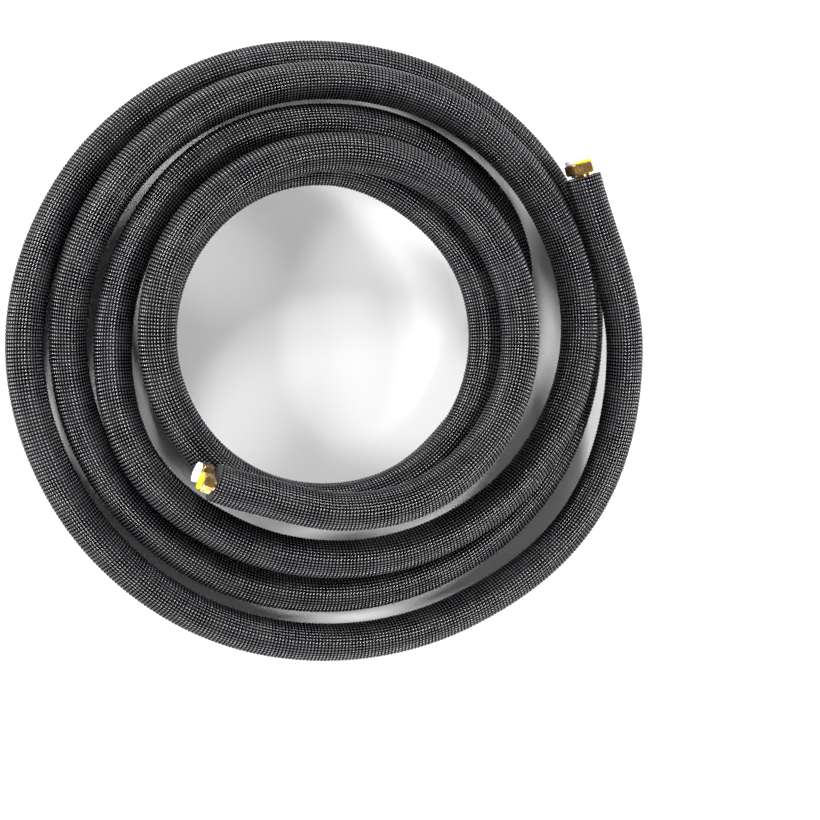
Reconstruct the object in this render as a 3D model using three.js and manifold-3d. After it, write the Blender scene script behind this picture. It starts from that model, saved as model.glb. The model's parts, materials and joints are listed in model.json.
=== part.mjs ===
// A coiled line set for a small split air conditioner: two soft copper tubes in one bundle of black
// foam insulation, wound into a loose coil that lies on the floor, with a flare nut and a plastic
// cap on every tube end. Millimetres, +Z up, the origin under the middle of the coil on the floor.
import * as THREE from 'three';
import { mergeVertices } from 'three/addons/utils/BufferGeometryUtils.js';
import Module from 'manifold-3d';

// The two copper tubes. Each has its outer diameter, the rise of its 45 degree flare, its brass nut
// (across flats, length of the hexagon, length of the round neck behind it, thread diameter) and
// its plastic cap (how far the head stays inside the flats, how thick the head is).
const SUCTION = {
  name: 'suction', tube: 9.52, flare: 1.9,
  nut: { flats: 22, hex: 11, neck: 2.5, thread: 15.9 },
  cap: { inset: 1, head: 4, colour: 0xe9e6f0 },
};
const LIQUID = {
  name: 'liquid', tube: 6.35, flare: 1.4,
  nut: { flats: 17, hex: 11, neck: 2.5, thread: 11.1 },
  cap: { inset: -0.35, head: 2, colour: 0xd6d820 },
};
const TUBE_WALL = 0.8;
const OPEN_BORE_DEPTH = 8;
const FLARE_LIP = 0.5;
const TUBE_OVERLAP = 1;
const RUN_INSET = 0.1;

// Insulation
const SLEEVE_DIAMETER = 39;
const FLOOR_SQUASH = 0.5;
const BORE_CLEARANCE = 0.35;

// Flare nuts and caps
const NUT_BACK_WALL = 3;
const NUT_NECK_WALL = 2.2;
const NUT_CHAMFER = 0.9;
const CHAMFER_SLOPE = 0.6;
const NUT_CLEARANCE = 0.3;
const NUT_SWING_CLEARANCE = 0.5;
const GAP_BEHIND_NUT = 1;
const CAP_CLEARANCE = 0.3;
const CAP_PLUG_DEPTH = 4;
const CAP_WALL = 1.2;
const CAP_EDGE = 0.5;

// Sides of what is turned and of what is swept, and the turn angle of one step of the sweep
const TURNED_SIDES = 24;
const SLEEVE_SIDES = 12;
const TUBE_SIDES = 6;
const SWEEP_STEP = 15;

// The route of the coil, in degrees of turn. The stations stand every 30 degrees, one row a lap.
// Each gives how far the middle of the sleeve is from the axis of the coil, and how far its
// underside is above the floor, both in sleeve diameters, so that laps which touch stay touching.
// At the start the section leans outward by the roll, which fades out over the first half lap.
const SLEEVE_START = 224;
const SLEEVE_END = 2194;
const START_ROLL = 20;
const ROLL_FADE = 180;
const FIRST_STATION = 210;
const STATION_STEP = 30;
const REACHES = [
  5.32, 4.28, 4.09, 4.22, 4.40,
  4.61, 4.77, 4.89, 4.94, 4.97, 4.93, 4.68, 4.38, 4.10, 3.92, 3.85, 3.92,
  4.06, 4.22, 4.36, 4.63, 4.72, 4.62, 4.42, 4.18, 3.99, 3.91, 4.00, 4.19,
  4.80, 5.80, 5.85, 5.77, 5.83, 5.69, 5.64, 5.73, 5.42, 5.33, 5.56, 6.06,
  6.58, 6.79, 6.85, 6.82, 6.88, 6.87, 6.72, 6.51, 6.31, 6.25, 6.42, 6.79,
  7.13, 7.53, 7.54, 7.46, 7.56, 7.71, 7.79, 7.64, 7.52, 7.50, 7.75, 8.21,
  8.00, 7.94, 9.72,
];
const LIFTS = [
  2.05, 2.05, 2.05, 2.05, 2.05,
  2.05, 2.05, 2.01, 1.91, 1.71, 1.47, 1.22, 1.06, 1.03, 1.03, 1.03, 1.03,
  1.03, 1.03, 0.96, 0.86, 0.65, 0.42, 0.19, 0.04, 0.00, 0.00, 0.00, 0.00,
  0.00, 0.00, 0.45, 0.80, 0.80, 0.55, 0.42, 0.68, 0.76, 0.82, 0.88, 0.97,
  1.01, 1.04, 1.04, 1.01, 0.91, 0.62, 0.17, 0.00, 0.00, 0.00, 0.00, 0.00,
  0.00, 0.00, 0.00, 0.00, 0.00, 0.00, 0.00, 0.00, 0.00, 0.00, 0.00, 0.12,
  0.74, 1.03, 1.05,
];

const BLACK_FOAM = { color: 0x1a1a1d, roughness: 0.5, metalness: 0 };
const COPPER = { color: 0xb87348, roughness: 0.35, metalness: 1 };
const BRASS = { color: 0xc9a45c, roughness: 0.3, metalness: 1 };
const UP = new THREE.Vector3(0, 0, 1);
const UNDERSIDE = SLEEVE_DIAMETER / 2 - FLOOR_SQUASH;

const wasm = await Module();
wasm.setup();

// The middle line of the sleeve. It is measured by turn angle and not by length, so that the facets
// of laps which lie against each other stand in line. Its frames keep the section upright,
// but for the roll at its start.
class CoilRoute extends THREE.Curve {
  constructor() {
    super();
    const stations = REACHES.map((reach, i) => new THREE.Vector3(reach, LIFTS[i], 0));
    this.stations = new THREE.CatmullRomCurve3(stations, false, 'catmullrom', 0.5);
  }

  getPoint(t, target = new THREE.Vector3()) {
    const turn = SLEEVE_START + t * (SLEEVE_END - SLEEVE_START);
    const at = this.stations.getPoint((turn - FIRST_STATION) / STATION_STEP / (REACHES.length - 1));
    const reach = at.x * SLEEVE_DIAMETER;
    const lift = Math.max(at.y, 0) * SLEEVE_DIAMETER;
    const angle = THREE.MathUtils.degToRad(turn);
    return target.set(reach * Math.cos(angle), reach * Math.sin(angle), lift + UNDERSIDE);
  }

  getUtoTmapping(u) {
    return u;
  }

  roll(t) {
    const left = 1 - THREE.MathUtils.smoothstep(t * (SLEEVE_END - SLEEVE_START), 0, ROLL_FADE);
    return THREE.MathUtils.degToRad(START_ROLL) * left;
  }

  computeFrenetFrames(segments) {
    const tangents = [];
    const normals = [];
    const binormals = [];
    for (let i = 0; i <= segments; i += 1) {
      const tangent = this.getTangent(i / segments);
      const side = tangent.clone().cross(UP).normalize();
      tangents.push(tangent);
      normals.push(side.clone().cross(tangent).applyAxisAngle(tangent, this.roll(i / segments)));
      binormals.push(tangent.clone().cross(normals[i]));
    }
    return { tangents, normals, binormals };
  }
}

// A regular polygon of so many sides around a circle's middle, the flat of one side towards +X
function polygon(sides, corner, middle = 0) {
  return Array.from({ length: sides }, (_, i) => {
    const angle = (2 * Math.PI * (i + 0.5)) / sides;
    return new THREE.Vector2(middle + corner * Math.cos(angle), corner * Math.sin(angle));
  });
}

// How far the corners of a polygon stand from its middle, from its size across flats
function cornerReach(flats, sides) {
  return flats / 2 / Math.cos(Math.PI / sides);
}

function toSolid(geometry) {
  const bare = geometry.clone();
  bare.deleteAttribute('normal');
  bare.deleteAttribute('uv');
  const closed = mergeVertices(bare, 1e-3);
  return new wasm.Manifold(new wasm.Mesh({
    numProp: 3,
    vertProperties: new Float32Array(closed.attributes.position.array),
    triVerts: new Uint32Array(closed.index.array),
  }));
}

function toGeometry(solid) {
  const mesh = solid.getMesh();
  const indexed = new THREE.BufferGeometry();
  indexed.setAttribute('position', new THREE.BufferAttribute(new Float32Array(mesh.vertProperties), 3));
  indexed.setIndex(new THREE.BufferAttribute(new Uint32Array(mesh.triVerts), 1));
  const faceted = indexed.toNonIndexed();
  faceted.computeVertexNormals();
  return faceted;
}

// A profile of [radius, distance along the axis] turned round +Y
function turned(profile) {
  return new THREE.LatheGeometry(profile.map(([r, y]) => new THREE.Vector2(r, y)), TURNED_SIDES);
}

// An outline carried along the route. Its +X is up and its origin is the middle of the sleeve.
function swept(outline) {
  const steps = Math.round((SLEEVE_END - SLEEVE_START) / SWEEP_STEP);
  return new THREE.ExtrudeGeometry(outline, { steps, extrudePath: route });
}

// The black foam with its two bores, whose flat sides stand clear of the round tubes
function sleeveGeometry() {
  const outline = new THREE.Shape(polygon(SLEEVE_SIDES, cornerReach(2 * UNDERSIDE, SLEEVE_SIDES)));
  outline.holes = LINES.map(({ tube, rise }) => {
    const corner = cornerReach(tube + 2 * BORE_CLEARANCE, TUBE_SIDES);
    return new THREE.Path(polygon(TUBE_SIDES, corner, rise));
  });
  return swept(outline);
}

// The straight end of a tube, along +Y from the cut end of the sleeve. It starts a little inside the
// sleeve, its flare ends inside the nut, and its bore is open for a short way.
function tubeEndGeometry({ tube, flare, nut }) {
  const outer = tube / 2;
  const inner = outer - TUBE_WALL;
  const foot = nutSeat(nut) + NUT_CLEARANCE;
  const rim = foot + flare;
  const lip = outer + flare - FLARE_LIP;
  const top = rim + FLARE_LIP;
  return turned([
    [0, -TUBE_OVERLAP], [outer, -TUBE_OVERLAP], [outer, foot], [outer + flare, rim], [lip, top],
    [inner, top - (lip - inner)], [inner, top - OPEN_BORE_DEPTH], [0, top - OPEN_BORE_DEPTH],
  ]);
}

// One copper tube: its run inside the sleeve and its two straight ends. The run is drawn solid, and
// its corners stay just inside the round ends.
function tubeGeometry(line) {
  const outline = new THREE.Shape(polygon(TUBE_SIDES, line.tube / 2 - RUN_INSET, line.rise));
  const run = toSolid(swept(outline));
  const ends = ENDS.map(({ at }) => toSolid(tubeEndGeometry(line).applyMatrix4(placeAtEnd(at, line))));
  return toGeometry(ends.reduce((tube, end) => tube.add(end), run));
}

function nutSeat(nut) {
  return GAP_BEHIND_NUT + nut.neck + NUT_BACK_WALL;
}

function nutFace(nut) {
  return GAP_BEHIND_NUT + nut.neck + nut.hex;
}

// A nut along +Y: a hexagon with both ends chamfered, a round neck behind it, a bore for the tube, a
// 45 degree seat for the flare and the open thread
function nutGeometry({ tube, nut }) {
  const bore = tube / 2 + NUT_CLEARANCE;
  const neck = bore + NUT_NECK_WALL;
  const thread = nut.thread / 2;
  const corner = cornerReach(nut.flats, 6) + NUT_CHAMFER;
  const edge = nut.flats / 2 - NUT_CHAMFER / 2;
  const slope = (corner - edge) * CHAMFER_SLOPE;
  const shoulder = GAP_BEHIND_NUT + nut.neck;
  const seat = nutSeat(nut);
  const face = nutFace(nut);
  const blank = turned([
    [bore, GAP_BEHIND_NUT], [neck, GAP_BEHIND_NUT], [neck, shoulder], [edge, shoulder],
    [corner, shoulder + slope], [corner, face - slope], [edge, face], [thread, face],
    [thread, seat + thread - bore], [bore, seat], [bore, GAP_BEHIND_NUT],
  ]);
  const outline = new THREE.Shape(polygon(6, cornerReach(nut.flats, 6)));
  const hexagon = new THREE.ExtrudeGeometry(outline, { depth: face + 1, bevelEnabled: false });
  return toGeometry(toSolid(blank).intersect(toSolid(hexagon.rotateX(-Math.PI / 2))));
}

// A cap along +Y: a round head over the face of the nut and a hollow plug in its thread
function capGeometry({ nut, cap }) {
  const plug = nut.thread / 2 - CAP_CLEARANCE;
  const rim = nut.flats / 2 - cap.inset;
  const under = nutFace(nut) + CAP_CLEARANCE;
  const top = under + cap.head;
  return turned([
    [0, under], [plug - CAP_WALL, under], [plug - CAP_WALL, under - CAP_PLUG_DEPTH],
    [plug, under - CAP_PLUG_DEPTH], [plug, under], [rim, under], [rim, top - CAP_EDGE],
    [rim - CAP_EDGE, top], [0, top],
  ]);
}

// Where a piece drawn along +Y stands at one end of the route: +Y points out of the sleeve
function placeAtEnd(at, line) {
  const up = route.computeFrenetFrames(1).normals[at];
  const out = route.getTangent(at).multiplyScalar(at === 0 ? -1 : 1);
  const side = out.clone().cross(up);
  const middle = route.getPoint(at).addScaledVector(up, line.rise);
  return new THREE.Matrix4().makeBasis(side, out, up).setPosition(middle);
}

function addPiece(name, geometry, finish, place = new THREE.Matrix4()) {
  const piece = new THREE.Mesh(geometry, new THREE.MeshStandardMaterial(finish));
  piece.name = name;
  piece.applyMatrix4(place);
  coil.add(piece);
}

const route = new CoilRoute();
const ENDS = [{ name: 'inner', at: 0, nutTurn: 0 }, { name: 'outer', at: 1, nutTurn: 30 }];

// The liquid tube lies over the suction tube, far enough that both nuts turn, with the same cover
// of foam outside each
const nutSpacing = cornerReach(SUCTION.nut.flats, 6) + cornerReach(LIQUID.nut.flats, 6)
  + NUT_SWING_CLEARANCE;
const suctionDrop = (nutSpacing - SUCTION.tube / 2 + LIQUID.tube / 2) / 2;
const LINES = [
  { ...SUCTION, rise: -suctionDrop },
  { ...LIQUID, rise: nutSpacing - suctionDrop },
];

const coil = new THREE.Group();
addPiece('insulated_sleeve', sleeveGeometry(), BLACK_FOAM);
for (const line of LINES) {
  addPiece(`${line.name}_tube`, tubeGeometry(line), COPPER);
  for (const end of ENDS) {
    const place = placeAtEnd(end.at, line);
    const plastic = { color: line.cap.colour, roughness: 0.4, metalness: 0 };
    const nut = nutGeometry(line).rotateY(THREE.MathUtils.degToRad(end.nutTurn));
    addPiece(`${line.name}_nut_${end.name}`, nut, BRASS, place);
    addPiece(`${line.name}_cap_${end.name}`, capGeometry(line), plastic, place);
  }
}

// The origin is under the middle of the coil
const box = new THREE.Box3().setFromObject(coil);
const middle = box.getCenter(new THREE.Vector3());
coil.position.set(-middle.x, -middle.y, -box.min.z);
const lineSet = new THREE.Group();
lineSet.add(coil);

export default lineSet;
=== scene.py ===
"""A coiled line set for a small split air conditioner, dressed round its solids.

Two soft copper tubes run in one sleeve of black foam under an embossed film. The sleeve lies in a
loose coil, and each tube end carries a brass flare nut with a plastic cap. Metres, +Z up.
"""

import json
import logging
import math
from dataclasses import dataclass, field
from enum import Enum
from typing import Any

import bpy
import numpy as np
from mathutils import Matrix, Vector


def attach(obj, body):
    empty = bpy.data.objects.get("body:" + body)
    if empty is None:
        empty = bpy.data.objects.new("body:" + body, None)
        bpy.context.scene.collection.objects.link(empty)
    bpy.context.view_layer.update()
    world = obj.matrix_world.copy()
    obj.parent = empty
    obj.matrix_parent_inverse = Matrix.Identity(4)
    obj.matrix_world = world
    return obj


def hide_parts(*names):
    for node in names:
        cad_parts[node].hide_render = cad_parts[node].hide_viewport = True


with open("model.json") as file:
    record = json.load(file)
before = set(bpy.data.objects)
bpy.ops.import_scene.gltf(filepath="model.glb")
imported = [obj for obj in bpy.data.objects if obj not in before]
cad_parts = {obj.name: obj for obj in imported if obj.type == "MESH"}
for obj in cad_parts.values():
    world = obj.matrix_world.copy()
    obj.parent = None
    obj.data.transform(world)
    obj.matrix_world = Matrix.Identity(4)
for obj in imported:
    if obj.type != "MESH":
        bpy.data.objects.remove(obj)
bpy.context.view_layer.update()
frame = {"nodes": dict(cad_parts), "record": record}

LOG = logging.getLogger("line_set")
MM = 0.001
FULL_TURN = 2.0 * math.pi


class TubeEnd(Enum):
    """The two ends of the coil, and where each stands on the route."""

    INNER = "inner"
    OUTER = "outer"


class Line(Enum):
    """The two copper tubes of the set."""

    SUCTION = "suction"
    LIQUID = "liquid"


def linear(hex_colour: str) -> tuple[float, float, float, float]:
    """Turn an sRGB hex colour into linear light.

    Args:
        hex_colour: six hexadecimal digits, such as "c9a45c".

    Returns:
        Red, green, blue and an alpha of one.
    """
    srgb = np.array([int(hex_colour[i : i + 2], 16) for i in (0, 2, 4)]) / 255.0
    light = np.where(srgb <= 0.04045, srgb / 12.92, ((srgb + 0.055) / 1.055) ** 2.4)
    return (float(light[0]), float(light[1]), float(light[2]), 1.0)


def add_node(
    tree: bpy.types.NodeTree,
    kind: str,
    settings: dict[str, Any] | None = None,
    inputs: dict[str | int, Any] | None = None,
) -> bpy.types.Node:
    """Add a node with its settings, values and links.

    Args:
        tree: the node tree that takes the node.
        kind: the node's type name.
        settings: properties of the node by name.
        inputs: by socket, a value to set or an output socket to link from.

    Returns:
        The new node.
    """
    node = tree.nodes.new(kind)
    for name, value in (settings or {}).items():
        setattr(node, name, value)
    for socket, value in (inputs or {}).items():
        if isinstance(value, bpy.types.NodeSocket):
            tree.links.new(value, node.inputs[socket])
        else:
            node.inputs[socket].default_value = value
    return node


def new_material(name: str) -> tuple[bpy.types.Material, bpy.types.NodeTree, bpy.types.Node]:
    """Make an empty material with a Principled surface.

    Args:
        name: the finish's name.

    Returns:
        The material, its node tree and its Principled node.
    """
    material = bpy.data.materials.new(name)
    material.use_nodes = True
    tree = material.node_tree
    tree.nodes.clear()
    surface = add_node(tree, "ShaderNodeBsdfPrincipled")
    add_node(tree, "ShaderNodeOutputMaterial", inputs={"Surface": surface.outputs[0]})
    return material, tree, surface


def ramp(
    tree: bpy.types.NodeTree, factor: bpy.types.NodeSocket, stops: list[tuple[float, str]]
) -> bpy.types.NodeSocket:
    """Colour a factor by stops.

    Args:
        tree: the node tree.
        factor: the socket that drives the ramp.
        stops: positions and sRGB hex colours, lowest first; two or more.

    Returns:
        The ramp's colour socket.
    """
    node = add_node(tree, "ShaderNodeValToRGB", inputs={0: factor})
    elements = node.color_ramp.elements
    while len(elements) < len(stops):
        elements.new(0.5)
    for element, (position, colour) in zip(elements, stops):
        element.position = position
        element.color = linear(colour)
    return node.outputs["Color"]


@dataclass(frozen=True)
class EmbossedFilm:
    """Black polyethylene film, blown, then embossed with rows of small pillows.

    The eye sees a black net of grooves with one glint on each pillow, and dull scuffs between. The film
    itself is black: the grey of the pillow tops is a painted highlight and the pure black of the grooves
    is painted shade.
    """

    # Pillow-top grey: a painted highlight, as the film itself is black.
    top: str = "3c3c42"
    # Groove black: painted shade in the hollows between the pillows.
    painted_groove_shade: str = "000000"
    roughness: float = 0.24
    relief: float = 0.5 * MM
    scuff_scale: float = 38.0
    dust_share: float = 0.012
    grain_scale: float = 2200.0
    grain_relief: float = 0.05 * MM

    def material(self) -> bpy.types.Material:
        """Build the finish on the sleeve's own map, whose unit is one pillow."""
        material, tree, surface = new_material("embossed_black_film")
        cells = add_node(tree, "ShaderNodeUVMap", {"uv_map": "film"})
        split = add_node(tree, "ShaderNodeSeparateXYZ", inputs={0: cells.outputs[0]})
        waves = []
        for axis in (0, 1):
            turn = add_node(
                tree, "ShaderNodeMath", {"operation": "MULTIPLY"}, {0: split.outputs[axis], 1: FULL_TURN}
            )
            wave = add_node(tree, "ShaderNodeMath", {"operation": "COSINE"}, {0: turn.outputs[0]})
            lifted = add_node(
                tree,
                "ShaderNodeMath",
                {"operation": "MULTIPLY_ADD"},
                {0: wave.outputs[0], 1: 0.5, 2: 0.5},
            )
            waves.append(lifted.outputs[0])
        pillow = add_node(tree, "ShaderNodeMath", {"operation": "MULTIPLY"}, {0: waves[0], 1: waves[1]})
        place = add_node(tree, "ShaderNodeTexCoord")
        scuff = add_node(
            tree,
            "ShaderNodeTexNoise",
            inputs={
                "Vector": place.outputs["Object"],
                "Scale": self.scuff_scale,
                "Detail": 4.0,
                "Roughness": 0.6,
            },
        )
        dust = ramp(tree, scuff.outputs["Fac"], [(0.42, "000000"), (0.75, "ffffff")])
        # The pillow pattern colours the film: painted shade in the grooves, painted highlight grey on
        # the pillow tops.
        tone = ramp(tree, pillow.outputs[0], [(0.22, self.painted_groove_shade), (0.62, self.top)])
        gloss = add_node(tree, "ShaderNodeMapRange", inputs={0: pillow.outputs[0], 1: 0.15, 2: 0.5})
        colour = add_node(
            tree,
            "ShaderNodeMix",
            {"data_type": "RGBA", "blend_type": "ADD"},
            {0: self.dust_share, 6: tone, 7: dust},
        )
        rough = add_node(
            tree,
            "ShaderNodeMapRange",
            inputs={0: scuff.outputs["Fac"], 3: self.roughness - 0.07, 4: self.roughness + 0.12},
        )
        grain = add_node(
            tree,
            "ShaderNodeTexNoise",
            inputs={"Vector": place.outputs["Object"], "Scale": self.grain_scale, "Detail": 2.0},
        )
        fine = add_node(
            tree,
            "ShaderNodeBump",
            inputs={"Strength": 0.25, "Distance": self.grain_relief, "Height": grain.outputs["Fac"]},
        )
        bump = add_node(
            tree,
            "ShaderNodeBump",
            inputs={
                "Strength": 1.0,
                "Distance": self.relief,
                "Height": pillow.outputs[0],
                "Normal": fine.outputs[0],
            },
        )
        for socket, value in {
            "Base Color": colour.outputs[2],
            "Roughness": rough.outputs[0],
            "Specular IOR Level": gloss.outputs[0],
            "Normal": bump.outputs[0],
        }.items():
            tree.links.new(value, surface.inputs[socket])
        surface.inputs["IOR"].default_value = 1.6
        return material


@dataclass(frozen=True)
class CutFoam:
    """Closed-cell rubber foam where the knife went through: matt, with fine open cells."""

    # The dark colour falls in the pits of the cells and the pale one on their rims: painted shade in the
    # hollows.
    colour: str = "1c1c1e"
    pale: str = "3a3a3d"
    cell: float = 0.5 * MM

    def material(self) -> bpy.types.Material:
        """Build the finish with cells at their real size."""
        material, tree, surface = new_material("cut_foam")
        place = add_node(tree, "ShaderNodeTexCoord")
        cells = add_node(
            tree,
            "ShaderNodeTexVoronoi",
            inputs={"Vector": place.outputs["Object"], "Scale": 1.0 / self.cell},
        )
        # Painted shade: darker where the cell bump is low, paler on the cell rims.
        tone = ramp(tree, cells.outputs["Distance"], [(0.1, self.colour), (0.8, self.pale)])
        bump = add_node(
            tree,
            "ShaderNodeBump",
            inputs={"Strength": 0.8, "Distance": 0.3 * MM, "Height": cells.outputs["Distance"]},
        )
        tree.links.new(tone, surface.inputs["Base Color"])
        tree.links.new(bump.outputs[0], surface.inputs["Normal"])
        surface.inputs["Roughness"].default_value = 0.92
        return material


@dataclass(frozen=True)
class Metal:
    """Bare drawn or turned metal, with tool marks, slight tarnish and finger dulling."""

    name: str
    colour: str
    tarnish: str
    roughness: float
    mark_scale: float = 900.0
    patch_scale: float = 190.0
    mark_depth: float = 0.05 * MM

    def material(self) -> bpy.types.Material:
        """Build the finish in the object's own space."""
        material, tree, surface = new_material(self.name)
        place = add_node(tree, "ShaderNodeTexCoord")
        patch = add_node(
            tree,
            "ShaderNodeTexNoise",
            inputs={
                "Vector": place.outputs["Object"],
                "Scale": self.patch_scale,
                "Detail": 5.0,
                "Roughness": 0.62,
            },
        )
        marks = add_node(
            tree,
            "ShaderNodeTexNoise",
            inputs={"Vector": place.outputs["Object"], "Scale": self.mark_scale, "Detail": 3.0},
        )
        tone = ramp(tree, patch.outputs["Fac"], [(0.36, self.tarnish), (0.58, self.colour)])
        rough = add_node(
            tree,
            "ShaderNodeMapRange",
            inputs={0: patch.outputs["Fac"], 3: self.roughness + 0.14, 4: self.roughness - 0.05},
        )
        bump = add_node(
            tree,
            "ShaderNodeBump",
            inputs={"Strength": 0.3, "Distance": self.mark_depth, "Height": marks.outputs["Fac"]},
        )
        tree.links.new(tone, surface.inputs["Base Color"])
        tree.links.new(rough.outputs[0], surface.inputs["Roughness"])
        tree.links.new(bump.outputs[0], surface.inputs["Normal"])
        surface.inputs["Metallic"].default_value = 1.0
        return material


@dataclass(frozen=True)
class MouldedPlastic:
    """Injection-moulded polyethylene: waxy, slightly see-through, with a soft uneven gloss."""

    name: str
    colour: str
    shade: str

    def material(self) -> bpy.types.Material:
        """Build the finish in the object's own space."""
        material, tree, surface = new_material(self.name)
        place = add_node(tree, "ShaderNodeTexCoord")
        cloud = add_node(
            tree,
            "ShaderNodeTexNoise",
            inputs={"Vector": place.outputs["Object"], "Scale": 260.0, "Detail": 3.0},
        )
        tone = ramp(tree, cloud.outputs["Fac"], [(0.3, self.shade), (0.65, self.colour)])
        bump = add_node(
            tree,
            "ShaderNodeBump",
            inputs={"Strength": 0.2, "Distance": 0.08 * MM, "Height": cloud.outputs["Fac"]},
        )
        tree.links.new(tone, surface.inputs["Base Color"])
        tree.links.new(bump.outputs[0], surface.inputs["Normal"])
        surface.inputs["Roughness"].default_value = 0.38
        surface.inputs["IOR"].default_value = 1.51
        surface.inputs["Subsurface Weight"].default_value = 0.25
        surface.inputs["Subsurface Scale"].default_value = 1.5 * MM
        return material


@dataclass
class CoilRoute:
    """The middle line of the sleeve, by turn angle in degrees.

    The stations stand every 30 degrees, one row a lap. Each gives how far the middle of the sleeve
    is from the coil's axis, and how far its underside is above the floor, in sleeve diameters.
    """

    start: float = 224.0
    end: float = 2194.0
    start_roll: float = 20.0
    roll_fade: float = 180.0
    first_station: float = 210.0
    station_step: float = 30.0
    sleeve_diameter: float = 39.0 * MM
    floor_squash: float = 0.5 * MM
    offset: Vector = field(default_factory=lambda: Vector((0.0, 0.0, 0.0)))
    reaches: tuple[float, ...] = (
        5.32, 4.28, 4.09, 4.22, 4.40,
        4.61, 4.77, 4.89, 4.94, 4.97, 4.93, 4.68, 4.38, 4.10, 3.92, 3.85, 3.92,
        4.06, 4.22, 4.36, 4.63, 4.72, 4.62, 4.42, 4.18, 3.99, 3.91, 4.00, 4.19,
        4.80, 5.80, 5.85, 5.77, 5.83, 5.69, 5.64, 5.73, 5.42, 5.33, 5.56, 6.06,
        6.58, 6.79, 6.85, 6.82, 6.88, 6.87, 6.72, 6.51, 6.31, 6.25, 6.42, 6.79,
        7.13, 7.53, 7.54, 7.46, 7.56, 7.71, 7.79, 7.64, 7.52, 7.50, 7.75, 8.21,
        8.00, 7.94, 9.72,
    )  # fmt: skip
    lifts: tuple[float, ...] = (
        2.05, 2.05, 2.05, 2.05, 2.05,
        2.05, 2.05, 2.01, 1.91, 1.71, 1.47, 1.22, 1.06, 1.03, 1.03, 1.03, 1.03,
        1.03, 1.03, 0.96, 0.86, 0.65, 0.42, 0.19, 0.04, 0.00, 0.00, 0.00, 0.00,
        0.00, 0.00, 0.45, 0.80, 0.80, 0.55, 0.42, 0.68, 0.76, 0.82, 0.88, 0.97,
        1.01, 1.04, 1.04, 1.01, 0.91, 0.62, 0.17, 0.00, 0.00, 0.00, 0.00, 0.00,
        0.00, 0.00, 0.00, 0.00, 0.00, 0.00, 0.00, 0.00, 0.00, 0.00, 0.00, 0.12,
        0.74, 1.03, 1.05,
    )  # fmt: skip

    def station_value(self, values: tuple[float, ...], turns: np.ndarray) -> np.ndarray:
        """Read a smooth value between the stations.

        Formula: a cubic through each pair of stations, whose slope at a station is half the
        difference between its two neighbours; past the ends the row goes on straight.

        Args:
            values: one value for each station.
            turns: turn angles in degrees.

        Returns:
            The value at each turn angle.
        """
        row = np.array(values)
        row = np.concatenate([[2 * row[0] - row[1]], row, [2 * row[-1] - row[-2]]])
        at = (turns - self.first_station) / self.station_step
        low = np.clip(np.floor(at).astype(int), 0, len(values) - 2)
        t = at - low
        before, here, there, after = (row[low + k] for k in range(4))
        leave, arrive = (there - before) / 2, (after - here) / 2
        return (
            (2 * t**3 - 3 * t**2 + 1) * here
            + (t**3 - 2 * t**2 + t) * leave
            + (-2 * t**3 + 3 * t**2) * there
            + (t**3 - t**2) * arrive
        )

    def points(self, turns: np.ndarray) -> np.ndarray:
        """Give the middle line's points.

        Formula: reach times the cosine and sine of the turn angle, and the lift over the floor
        plus the height of the middle above the sleeve's flattened underside.

        Args:
            turns: turn angles in degrees.

        Returns:
            One row of x, y and z for each angle.
        """
        reach = self.station_value(self.reaches, turns) * self.sleeve_diameter
        lift = np.maximum(self.station_value(self.lifts, turns), 0.0) * self.sleeve_diameter
        angle = np.radians(turns)
        height = lift + self.sleeve_diameter / 2 - self.floor_squash
        line = np.stack([reach * np.cos(angle), reach * np.sin(angle), height], axis=1)
        return line + np.array(self.offset)

    def frames(self, turns: np.ndarray) -> tuple[np.ndarray, np.ndarray, np.ndarray, np.ndarray]:
        """Give the middle line with its directions.

        Formula: the tangent is a central difference, the side is the tangent across the
        vertical, and up is the side across the tangent. At the start both are rolled outward
        by an angle that fades out smoothly.

        Args:
            turns: turn angles in degrees.

        Returns:
            Points, tangents, ups and sides, one row each.
        """
        step = 0.02
        tangent = self.points(turns + step) - self.points(turns - step)
        tangent /= np.linalg.norm(tangent, axis=1, keepdims=True)
        side = np.cross(tangent, [0.0, 0.0, 1.0])
        side /= np.linalg.norm(side, axis=1, keepdims=True)
        up = np.cross(side, tangent)
        past = np.clip((turns - self.start) / self.roll_fade, 0.0, 1.0)
        roll = np.radians(self.start_roll) * (1.0 - past**2 * (3.0 - 2.0 * past))
        cos, sin = np.cos(roll)[:, None], np.sin(roll)[:, None]
        return self.points(turns), tangent, cos * up + sin * side, cos * side - sin * up

    def even_turns(self, spacing: float) -> tuple[np.ndarray, np.ndarray]:
        """Find turn angles that stand evenly along the length.

        Args:
            spacing: the wanted distance between them, in metres.

        Returns:
            The turn angles, an odd number of them, and the length run at each.
        """
        fine = np.linspace(self.start, self.end, 30001)
        steps = np.linalg.norm(np.diff(self.points(fine), axis=0), axis=1)
        run = np.concatenate([[0.0], np.cumsum(steps)])
        count = 2 * round(run[-1] / spacing / 2)
        even = np.linspace(0.0, run[-1], count + 1)
        return np.interp(even, run, fine), even


def grid_faces(rows: int, columns: int, closed_rows: bool = False) -> np.ndarray:
    """Number the four-sided faces of a grid that closes round its columns.

    Args:
        rows: number of rings of points.
        columns: number of points in a ring.
        closed_rows: whether the last ring joins the first.

    Returns:
        Four point numbers for each face.
    """
    row = np.arange(rows if closed_rows else rows - 1)[:, None]
    column = np.arange(columns)[None, :]
    following = (row + 1) % rows
    beside = (column + 1) % columns
    corners = [
        row * columns + column,
        row * columns + beside,
        following * columns + beside,
        following * columns + column,
    ]
    return np.stack([np.broadcast_to(c, corners[1].shape).ravel() for c in corners], axis=1)


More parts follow.
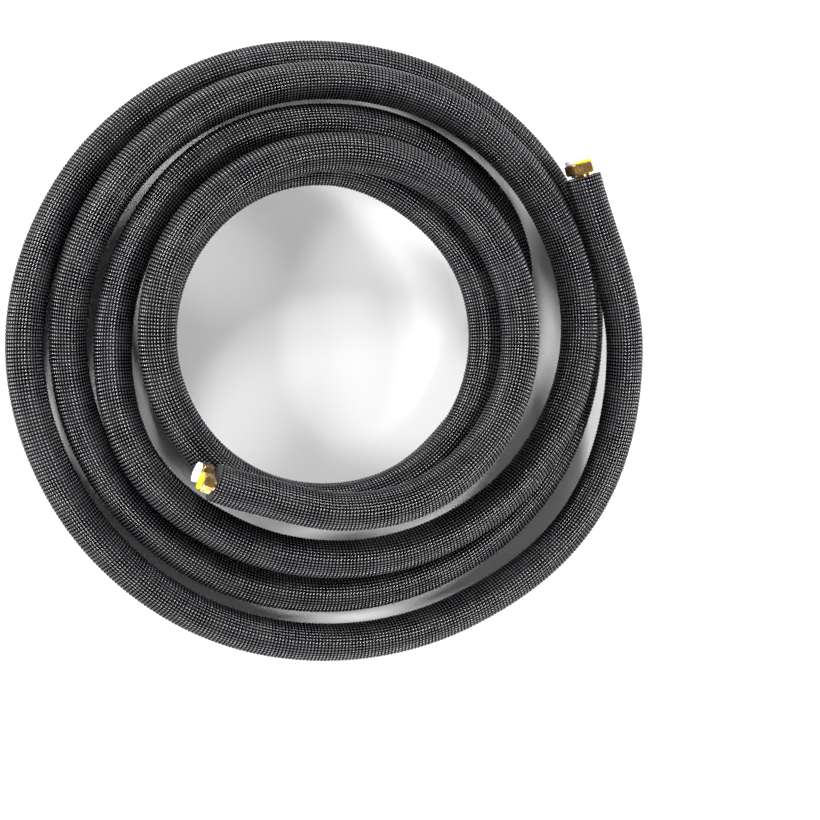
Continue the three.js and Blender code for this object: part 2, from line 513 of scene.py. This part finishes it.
def make_piece(
    name: str,
    points: np.ndarray,
    quads: np.ndarray,
    triangles: np.ndarray | None = None,
) -> bpy.types.Object:
    """Put whole arrays into a new mesh object.

    Args:
        name: the piece's name.
        points: one row of x, y and z for each point.
        quads: four point numbers for each face.
        triangles: three point numbers for each closing face, if any.

    Returns:
        The new object, linked to the scene.
    """
    fans = np.zeros((0, 3), int) if triangles is None else triangles
    corners = np.concatenate([quads.ravel(), fans.ravel()]).astype(np.int32)
    sizes = np.concatenate([np.full(len(quads), 4), np.full(len(fans), 3)])
    starts = np.concatenate([[0], np.cumsum(sizes)[:-1]]).astype(np.int32)
    mesh = bpy.data.meshes.new(name)
    mesh.vertices.add(len(points))
    mesh.vertices.foreach_set("co", points.astype(np.float32).ravel())
    mesh.loops.add(len(corners))
    mesh.loops.foreach_set("vertex_index", corners)
    mesh.polygons.add(len(sizes))
    mesh.polygons.foreach_set("loop_start", starts)
    mesh.polygons.foreach_set("use_smooth", np.full(len(sizes), True))
    mesh.update(calc_edges=True)
    mesh.validate()
    piece = bpy.data.objects.new(name, mesh)
    bpy.context.scene.collection.objects.link(piece)
    return piece


def report_piece(piece: bpy.types.Object) -> None:
    """Log a piece's name and its number of faces."""
    LOG.info("%s: %d faces", piece.name, len(piece.data.polygons))


@dataclass
class Sleeve:
    """The foam sleeve under its embossed film, and its two cut ends."""

    route: CoilRoute
    pitch_along: float = 3.5 * MM
    pillows_round: int = 38
    relief: float = 1.3 * MM
    notch: float = 0.45
    valley: float = 0.75
    sinking: float = 0.15 * MM
    stretches: int = 4
    node: str = "insulated_sleeve"
    body: str = "coil"

    def radius(self, row: np.ndarray, column: np.ndarray, run: np.ndarray) -> np.ndarray:
        """Give the film's distance from the sleeve's middle.

        Formula: the outer radius, less the relief between rings, less part of the relief
        between the pillows of a ring, less a slow uneven sinking of the foam.

        Args:
            row: ring numbers down, two for each ring of pillows.
            column: point numbers across, two for each pillow.
            run: length along the sleeve at each ring, in metres.

        Returns:
            A radius for each ring and point.
        """
        ring = (row % 2 == 0)[:, None]
        gap = (column % 2 == 1)[None, :]
        depth = np.where(ring, np.where(gap, self.notch, 0.0), np.where(gap, 1.0, self.valley))
        angle = column[None, :] / len(column) * FULL_TURN
        slow = np.sin(run[:, None] * 31.0 + 2.0 * angle) + np.sin(run[:, None] * 17.0 - angle + 1.0)
        outer = self.route.sleeve_diameter / 2
        return outer - depth * self.relief - self.sinking * (slow + 2.0)

    def skin_points(self) -> np.ndarray:
        """Work out every ring of the film.

        Formula: the middle line's point, plus the radius along up by the cosine and along
        side by the sine of the angle round the section; nothing lies under the floor.

        Returns:
            Points by ring and column.
        """
        turns, run = self.route.even_turns(self.pitch_along / 2)
        middle, _, up, side = self.route.frames(turns)
        columns = 2 * self.pillows_round
        angle = np.arange(columns) / columns * FULL_TURN
        radius = self.radius(np.arange(len(turns)), np.arange(columns), run)[..., None]
        across = (
            np.cos(angle)[None, :, None] * up[:, None, :]
            + np.sin(angle)[None, :, None] * side[:, None, :]
        )
        points = middle[:, None, :] + radius * across
        points[..., 2] = np.maximum(points[..., 2], 0.0)
        return points

    def build(self, film: bpy.types.Material, foam: bpy.types.Material) -> None:
        """Make the film in stretches that share their end rings, each closed by its foam.

        Args:
            film: the embossed film.
            foam: the cut foam.
        """
        points = self.skin_points()
        rings, columns, _ = points.shape
        bounds = np.linspace(0, (rings - 1) // 2, self.stretches + 1).astype(int) * 2
        for number, (low, high) in enumerate(zip(bounds[:-1], bounds[1:]), start=1):
            part = points[low : high + 1]
            self.make_stretch(f"embossed_sleeve_{number}", part, low, film, foam)

    def make_stretch(
        self,
        name: str,
        part: np.ndarray,
        first_row: int,
        film: bpy.types.Material,
        foam: bpy.types.Material,
    ) -> None:
        """Make one stretch of the film with a flat closing face at each end.

        Args:
            name: the piece's name.
            part: points by ring and column.
            first_row: number of the first ring, for the map of the pillows.
            film: the embossed film.
            foam: the cut foam.
        """
        rows, columns, _ = part.shape
        centres = np.stack([part[0].mean(axis=0), part[-1].mean(axis=0)])
        quads = grid_faces(rows, columns)
        column = np.arange(columns)
        beside = (column + 1) % columns
        last = (rows - 1) * columns
        start = np.stack([beside, column, np.full(columns, rows * columns)], axis=1)
        stop = np.stack([last + column, last + beside, np.full(columns, rows * columns + 1)], axis=1)
        skin = np.concatenate([part.reshape(-1, 3), centres])
        piece = make_piece(name, skin, quads, np.concatenate([start, stop]))
        self.map_pillows(piece.data, rows, columns, first_row)
        piece.data.materials.append(film)
        piece.data.materials.append(foam)
        finish = np.zeros(len(piece.data.polygons), np.int32)
        finish[len(quads) :] = 1
        piece.data.polygons.foreach_set("material_index", finish)
        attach(piece, self.body)
        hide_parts(self.node)
        report_piece(piece)

    def map_pillows(self, mesh: bpy.types.Mesh, rows: int, columns: int, first_row: int) -> None:
        """Lay a map over the skin whose unit is one pillow along and one round.

        Args:
            mesh: the stretch's mesh, its quads first.
            rows: number of rings.
            columns: number of points in a ring.
            first_row: number of the first ring.
        """
        row = np.arange(rows - 1)[:, None] + first_row
        column = np.arange(columns)[None, :]
        along = np.stack([row, row, row + 1, row + 1], axis=-1) + np.zeros((1, columns, 1))
        round_ = np.stack([column, column + 1, column + 1, column], axis=-1) + np.zeros((rows - 1, 1, 1))
        cells = np.stack([along, round_], axis=-1).reshape(-1, 2) / 2.0
        layer = mesh.uv_layers.new(name="film")
        whole = np.zeros((len(mesh.loops), 2), np.float32)
        whole[: len(cells)] = cells
        layer.data.foreach_set("uv", whole.ravel())


@dataclass(frozen=True)
class LineSizes:
    """Sizes of one tube's end fittings, in metres."""

    line: Line
    tube: float
    flats: float
    hexagon: float
    neck: float
    thread: float
    cap_inset: float
    cap_head: float


SUCTION = LineSizes(Line.SUCTION, 9.52 * MM, 22 * MM, 11 * MM, 2.5 * MM, 15.9 * MM, 1 * MM, 4 * MM)
LIQUID = LineSizes(Line.LIQUID, 6.35 * MM, 17 * MM, 11 * MM, 2.5 * MM, 11.1 * MM, -0.35 * MM, 2 * MM)


@dataclass
class EndFittings:
    """The flare nut and the plastic cap on one end of one tube."""

    sizes: LineSizes
    end: TubeEnd
    place: Matrix
    nut_turn: float = 0.0
    gap_behind_nut: float = 1 * MM
    back_wall: float = 3 * MM
    neck_wall: float = 2.2 * MM
    clearance: float = 0.3 * MM
    cap_plug_depth: float = 4 * MM
    cap_wall: float = 1.2 * MM
    chamfer: float = 1.0 * MM
    chamfer_angle: float = 60.0
    soft_edge: float = 0.15 * MM
    nut_columns: int = 144
    cap_columns: int = 96
    sharp_angle: float = 28.0

    @property
    def body(self) -> str:
        """Name of the body that the nut turns with."""
        return f"{self.sizes.line.value}_nut_at_{self.end.value}_end"

    @property
    def face(self) -> float:
        """Distance from the cut end of the sleeve to the face of the nut."""
        return self.gap_behind_nut + self.sizes.neck + self.sizes.hexagon

    def turned(self, profile: np.ndarray, columns: int) -> np.ndarray:
        """Turn a profile round the tube's axis.

        Formula: radius times the cosine and sine of the angle, at the profile's own distance
        along the axis.

        Args:
            profile: radius and distance along the axis, one row each.
            columns: number of points round.

        Returns:
            Points by profile row and column, with the axis along +Y.
        """
        angle = np.arange(columns) / columns * FULL_TURN
        radius = profile[:, 0][:, None]
        return np.stack(
            [
                radius * np.sin(angle),
                profile[:, 1][:, None] + np.zeros((1, columns)),
                radius * np.cos(angle),
            ],
            axis=-1,
        )

    def placed(self, points: np.ndarray) -> np.ndarray:
        """Carry points drawn along +Y to the end of the tube."""
        turn = np.array(self.place.to_3x3())
        return points.reshape(-1, 3) @ turn.T + np.array(self.place.translation)

    def nut(self, brass: bpy.types.Material) -> bpy.types.Object:
        """Make the nut.

        Formula: a profile turned round the axis, whose hexagon rows take the smaller of two
        radii: the hexagon's own at that angle, and a shallow cone that chamfers its corners.
        """
        s = self.sizes
        columns = self.nut_columns
        angle = np.arange(columns) / columns * FULL_TURN
        corner_turn = (angle + self.nut_turn) % (math.pi / 3) - math.pi / 6
        hexagon = s.flats / 2 / np.cos(corner_turn)
        shoulder = self.gap_behind_nut + s.neck
        seat = shoulder + self.back_wall
        bore = s.tube / 2 + self.clearance
        neck = bore + self.neck_wall
        rows = np.linspace(0.0, 1.0, 25)
        along = shoulder + rows * s.hexagon
        edge = s.flats / 2 - 0.35 * self.chamfer
        rise = np.minimum(rows, 1.0 - rows) * s.hexagon
        cone = edge + rise * math.tan(math.radians(self.chamfer_angle))
        outer = np.minimum(hexagon[None, :], cone[:, None])
        soft = self.soft_edge
        before = [
            (bore, self.gap_behind_nut + soft),
            (bore + soft, self.gap_behind_nut),
            (neck - soft, self.gap_behind_nut),
            (neck, self.gap_behind_nut + soft),
            (neck, shoulder - soft),
            (neck + soft, shoulder),
        ]
        after = [
            (s.thread / 2 + 0.6 * MM, self.face),
            (s.thread / 2, self.face - 0.6 * MM),
            (s.thread / 2, seat + s.thread / 2 - bore),
            (bore, seat),
        ]
        front = self.turned(np.array(before), columns)
        back = self.turned(np.array(after), columns)
        middle = np.stack(
            [
                outer * np.sin(angle),
                along[:, None] + np.zeros((1, columns)),
                outer * np.cos(angle),
            ],
            axis=-1,
        )
        points = np.concatenate([front, middle, back])
        quads = grid_faces(len(points), columns, closed_rows=True)
        name = f"{s.line.value}_flare_nut_{self.end.value}"
        return self.dress(name, points, quads, None, brass, "nut")

    def cap(self, plastic: bpy.types.Material, slot: str) -> bpy.types.Object:
        """Make the cap: a round head with soft edges on a hollow plug, turned round the axis."""
        s = self.sizes
        columns = self.cap_columns
        plug = s.thread / 2 - self.clearance
        rim = s.flats / 2 - s.cap_inset
        under = self.face + self.clearance
        top = under + s.cap_head
        soft = min(0.7 * MM, s.cap_head * 0.4)
        bend = np.linspace(0.0, math.pi / 2, 6)
        lower = np.stack([rim - soft + soft * np.sin(bend), under + soft - soft * np.cos(bend)], axis=1)
        upper = np.stack([rim - soft + soft * np.cos(bend), top - soft + soft * np.sin(bend)], axis=1)
        dish = [(rim * 0.72, top), (rim * 0.66, top - 0.35 * MM), (0.6 * MM, top - 0.35 * MM)]
        inside = [
            (0.6 * MM, under),
            (plug - self.cap_wall, under),
            (plug - self.cap_wall, under - self.cap_plug_depth),
            (plug, under - self.cap_plug_depth),
            (plug, under - 0.2 * MM),
        ]
        profile = np.concatenate([np.array(inside), lower, upper, np.array(dish)])
        points = self.turned(profile, columns).reshape(-1, 3)
        rows = len(profile)
        poles = np.array([[0.0, under, 0.0], [0.0, top - 0.35 * MM, 0.0]])
        column = np.arange(columns)
        beside = (column + 1) % columns
        last = (rows - 1) * columns
        low = np.stack([beside, column, np.full(columns, rows * columns)], axis=1)
        high = np.stack([last + column, last + beside, np.full(columns, rows * columns + 1)], axis=1)
        quads = grid_faces(rows, columns)
        name = f"{s.line.value}_plug_cap_{self.end.value}"
        fans = np.concatenate([low, high])
        return self.dress(name, np.concatenate([points, poles]), quads, fans, plastic, "cap")

    def dress(
        self,
        name: str,
        points: np.ndarray,
        quads: np.ndarray,
        fans: np.ndarray | None,
        finish: bpy.types.Material,
        kind: str,
    ) -> bpy.types.Object:
        """Place a fitting, give it its finish and let it turn with its nut.

        Args:
            name: the piece's name.
            points: its points, drawn along +Y.
            quads: its four-sided faces.
            fans: its closing triangles, if any.
            finish: its material.
            kind: "nut" or "cap", as in the name of the solid.

        Returns:
            The finished piece.
        """
        piece = make_piece(name, self.placed(points), quads, fans)
        piece.data.materials.append(finish)
        sharpen(piece, self.sharp_angle)
        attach(piece, self.body)
        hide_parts(f"{self.sizes.line.value}_{kind}_{self.end.value}")
        report_piece(piece)
        return piece


def sharpen(piece: bpy.types.Object, angle: float) -> None:
    """Shade a piece smooth except over edges sharper than an angle in degrees."""
    piece.data.set_sharp_from_angle(angle=math.radians(angle))


@dataclass
class Studio:
    """Plain pale floor, soft light from all round and the camera over the coil."""

    look_at: Vector = field(default_factory=lambda: Vector((0.0767, -0.0591, 0.05)))
    lean: float = 18.0
    distance: float = 3.2
    frame_width: float = 0.82
    sensor: float = 36.0
    floor_half: float = 6.0
    floor_drop: float = 0.05 * MM
    room_glow: float = 1.7

    def camera(self) -> None:
        """Put the camera over the coil, leaning to the left, with the photo's up along +Y."""
        lean = math.radians(self.lean)
        back = Vector((-math.sin(lean), 0.0, math.cos(lean)))
        right = Vector((math.cos(lean), 0.0, math.sin(lean)))
        data = bpy.data.cameras.new("camera")
        data.sensor_width = self.sensor
        data.lens = self.sensor * self.distance / self.frame_width
        camera = bpy.data.objects.new("camera", data)
        turn = Matrix((right, Vector((0.0, 1.0, 0.0)), back)).transposed()
        camera.matrix_world = Matrix.Translation(self.look_at + back * self.distance) @ turn.to_4x4()
        bpy.context.scene.collection.objects.link(camera)
        bpy.context.scene.camera = camera

    def light(self, name: str, place: tuple[float, float, float], size: float, power: float) -> None:
        """Hang a square soft light that faces the coil.

        Args:
            name: the light's name.
            place: where it hangs.
            size: its side in metres.
            power: its power in watts.
        """
        data = bpy.data.lights.new(name, "AREA")
        data.size = size
        data.energy = power
        lamp = bpy.data.objects.new(name, data)
        lamp.location = place
        lamp.rotation_euler = (-Vector(place)).to_track_quat("-Z", "Y").to_euler()
        bpy.context.scene.collection.objects.link(lamp)

    def world(self) -> None:
        """Fill the room with soft light that is brighter near the horizon than overhead."""
        world = bpy.data.worlds.new("studio")
        world.use_nodes = True
        bpy.context.scene.world = world
        tree = world.node_tree
        tree.nodes.clear()
        place = add_node(tree, "ShaderNodeTexCoord")
        split = add_node(tree, "ShaderNodeSeparateXYZ", inputs={0: place.outputs["Generated"]})
        band = ramp(
            tree, split.outputs[2], [(0.0, "ffffff"), (0.5, "f4f4f6"), (0.75, "5a5a5c"), (0.9, "1c1c1e")]
        )
        glow = add_node(tree, "ShaderNodeBackground", inputs={"Color": band, "Strength": self.room_glow})
        add_node(tree, "ShaderNodeOutputWorld", inputs={"Surface": glow.outputs[0]})

    def floor(self) -> None:
        """Lay a plain white floor under the coil."""
        size = self.floor_half
        corners = np.array([[-size, -size, 0], [size, -size, 0], [size, size, 0], [-size, size, 0]])
        corners[:, 2] = -self.floor_drop
        floor = make_piece("studio_floor", corners, np.array([[0, 1, 2, 3]]))
        material, _, surface = new_material("white_paper")
        surface.inputs["Base Color"].default_value = linear("fafafa")
        surface.inputs["Roughness"].default_value = 0.9
        floor.data.materials.append(material)

    def build(self) -> None:
        """Set the camera, the lights, the room and the floor."""
        self.camera()
        self.world()
        self.floor()
        self.light("key_top", (-0.9, 2.2, 1.6), 0.6, 60.0)
        self.light("fill_bottom", (0.5, -2.3, 1.3), 0.6, 45.0)
        self.light("left_box", (-2.3, -0.2, 1.2), 0.5, 60.0)
        self.light("right_box", (2.3, 0.3, 1.3), 0.5, 45.0)
        scene = bpy.context.scene
        scene.view_settings.view_transform = "Standard"


def joint_place(line: Line, end: TubeEnd) -> tuple[Vector, Vector]:
    """Find the axis that a nut turns on.

    Args:
        line: which tube.
        end: which end of it.

    Returns:
        The point where the tube leaves the sleeve, and the direction out of the sleeve.
    """
    name = f"{line.value}_nut_{end.value}_spin"
    joint = next(j for j in frame["record"]["behaviour"]["joints"] if j["name"] == name)
    return Vector(joint["pos_m"]), Vector(joint["axis"]).normalized()


def place_at(route: CoilRoute, line: Line, end: TubeEnd) -> Matrix:
    """Stand a fitting drawn along +Y on a tube's end, its +Z up along the section.

    Args:
        route: the route of the coil.
        line: which tube.
        end: which end of it.

    Returns:
        The fitting's place.
    """
    middle, out = joint_place(line, end)
    turn_angle = route.start if end is TubeEnd.INNER else route.end
    up = Vector(route.frames(np.array([turn_angle]))[2][0])
    side = out.cross(up).normalized()
    up = side.cross(out)
    turn = Matrix((side, out, up)).transposed()
    return Matrix.Translation(middle) @ turn.to_4x4()


def route_in_place() -> CoilRoute:
    """Lay the route through the solids' own tube ends.

    Returns:
        The route, moved so that its outer end, whose section is upright, stands over the tubes.
    """
    route = CoilRoute()
    stop, _, up, _ = (row[0] for row in route.frames(np.array([route.end])))
    suction = np.array(joint_place(Line.SUCTION, TubeEnd.OUTER)[0])
    rise = (suction[2] - stop[2]) / up[2]
    move = suction - stop - rise * up
    route.offset = Vector((move[0], move[1], 0.0))
    return route


def main() -> None:
    """Build the studio, the sleeve and the end fittings."""
    logging.basicConfig(level=logging.INFO)
    Studio().build()
    film = EmbossedFilm().material()
    foam = CutFoam().material()
    brass = Metal("turned_brass", "e6c98e", "b98a4a", 0.26).material()
    copper = Metal("drawn_copper", "c47f57", "8e4f33", 0.3).material()
    white = MouldedPlastic("white_polyethylene", "f2eff8", "dcd8e6").material()
    yellow = MouldedPlastic("yellow_polyethylene", "e2e428", "b9ba18").material()
    route = route_in_place()
    Sleeve(route).build(film, foam)
    for sizes, plastic, slot in ((SUCTION, white, "white_cap"), (LIQUID, yellow, "yellow_cap")):
        for end in TubeEnd:
            nut_turn = math.pi / 6 if end is TubeEnd.OUTER else 0.0
            fittings = EndFittings(sizes, end, place_at(route, sizes.line, end), nut_turn)
            fittings.nut(brass)
            fittings.cap(plastic, slot)
        tube = frame["nodes"][f"{sizes.line.value}_tube"]
        tube.data.materials.clear()
        tube.data.materials.append(copper)
        report_piece(tube)


if __name__ == "__main__":
    main()
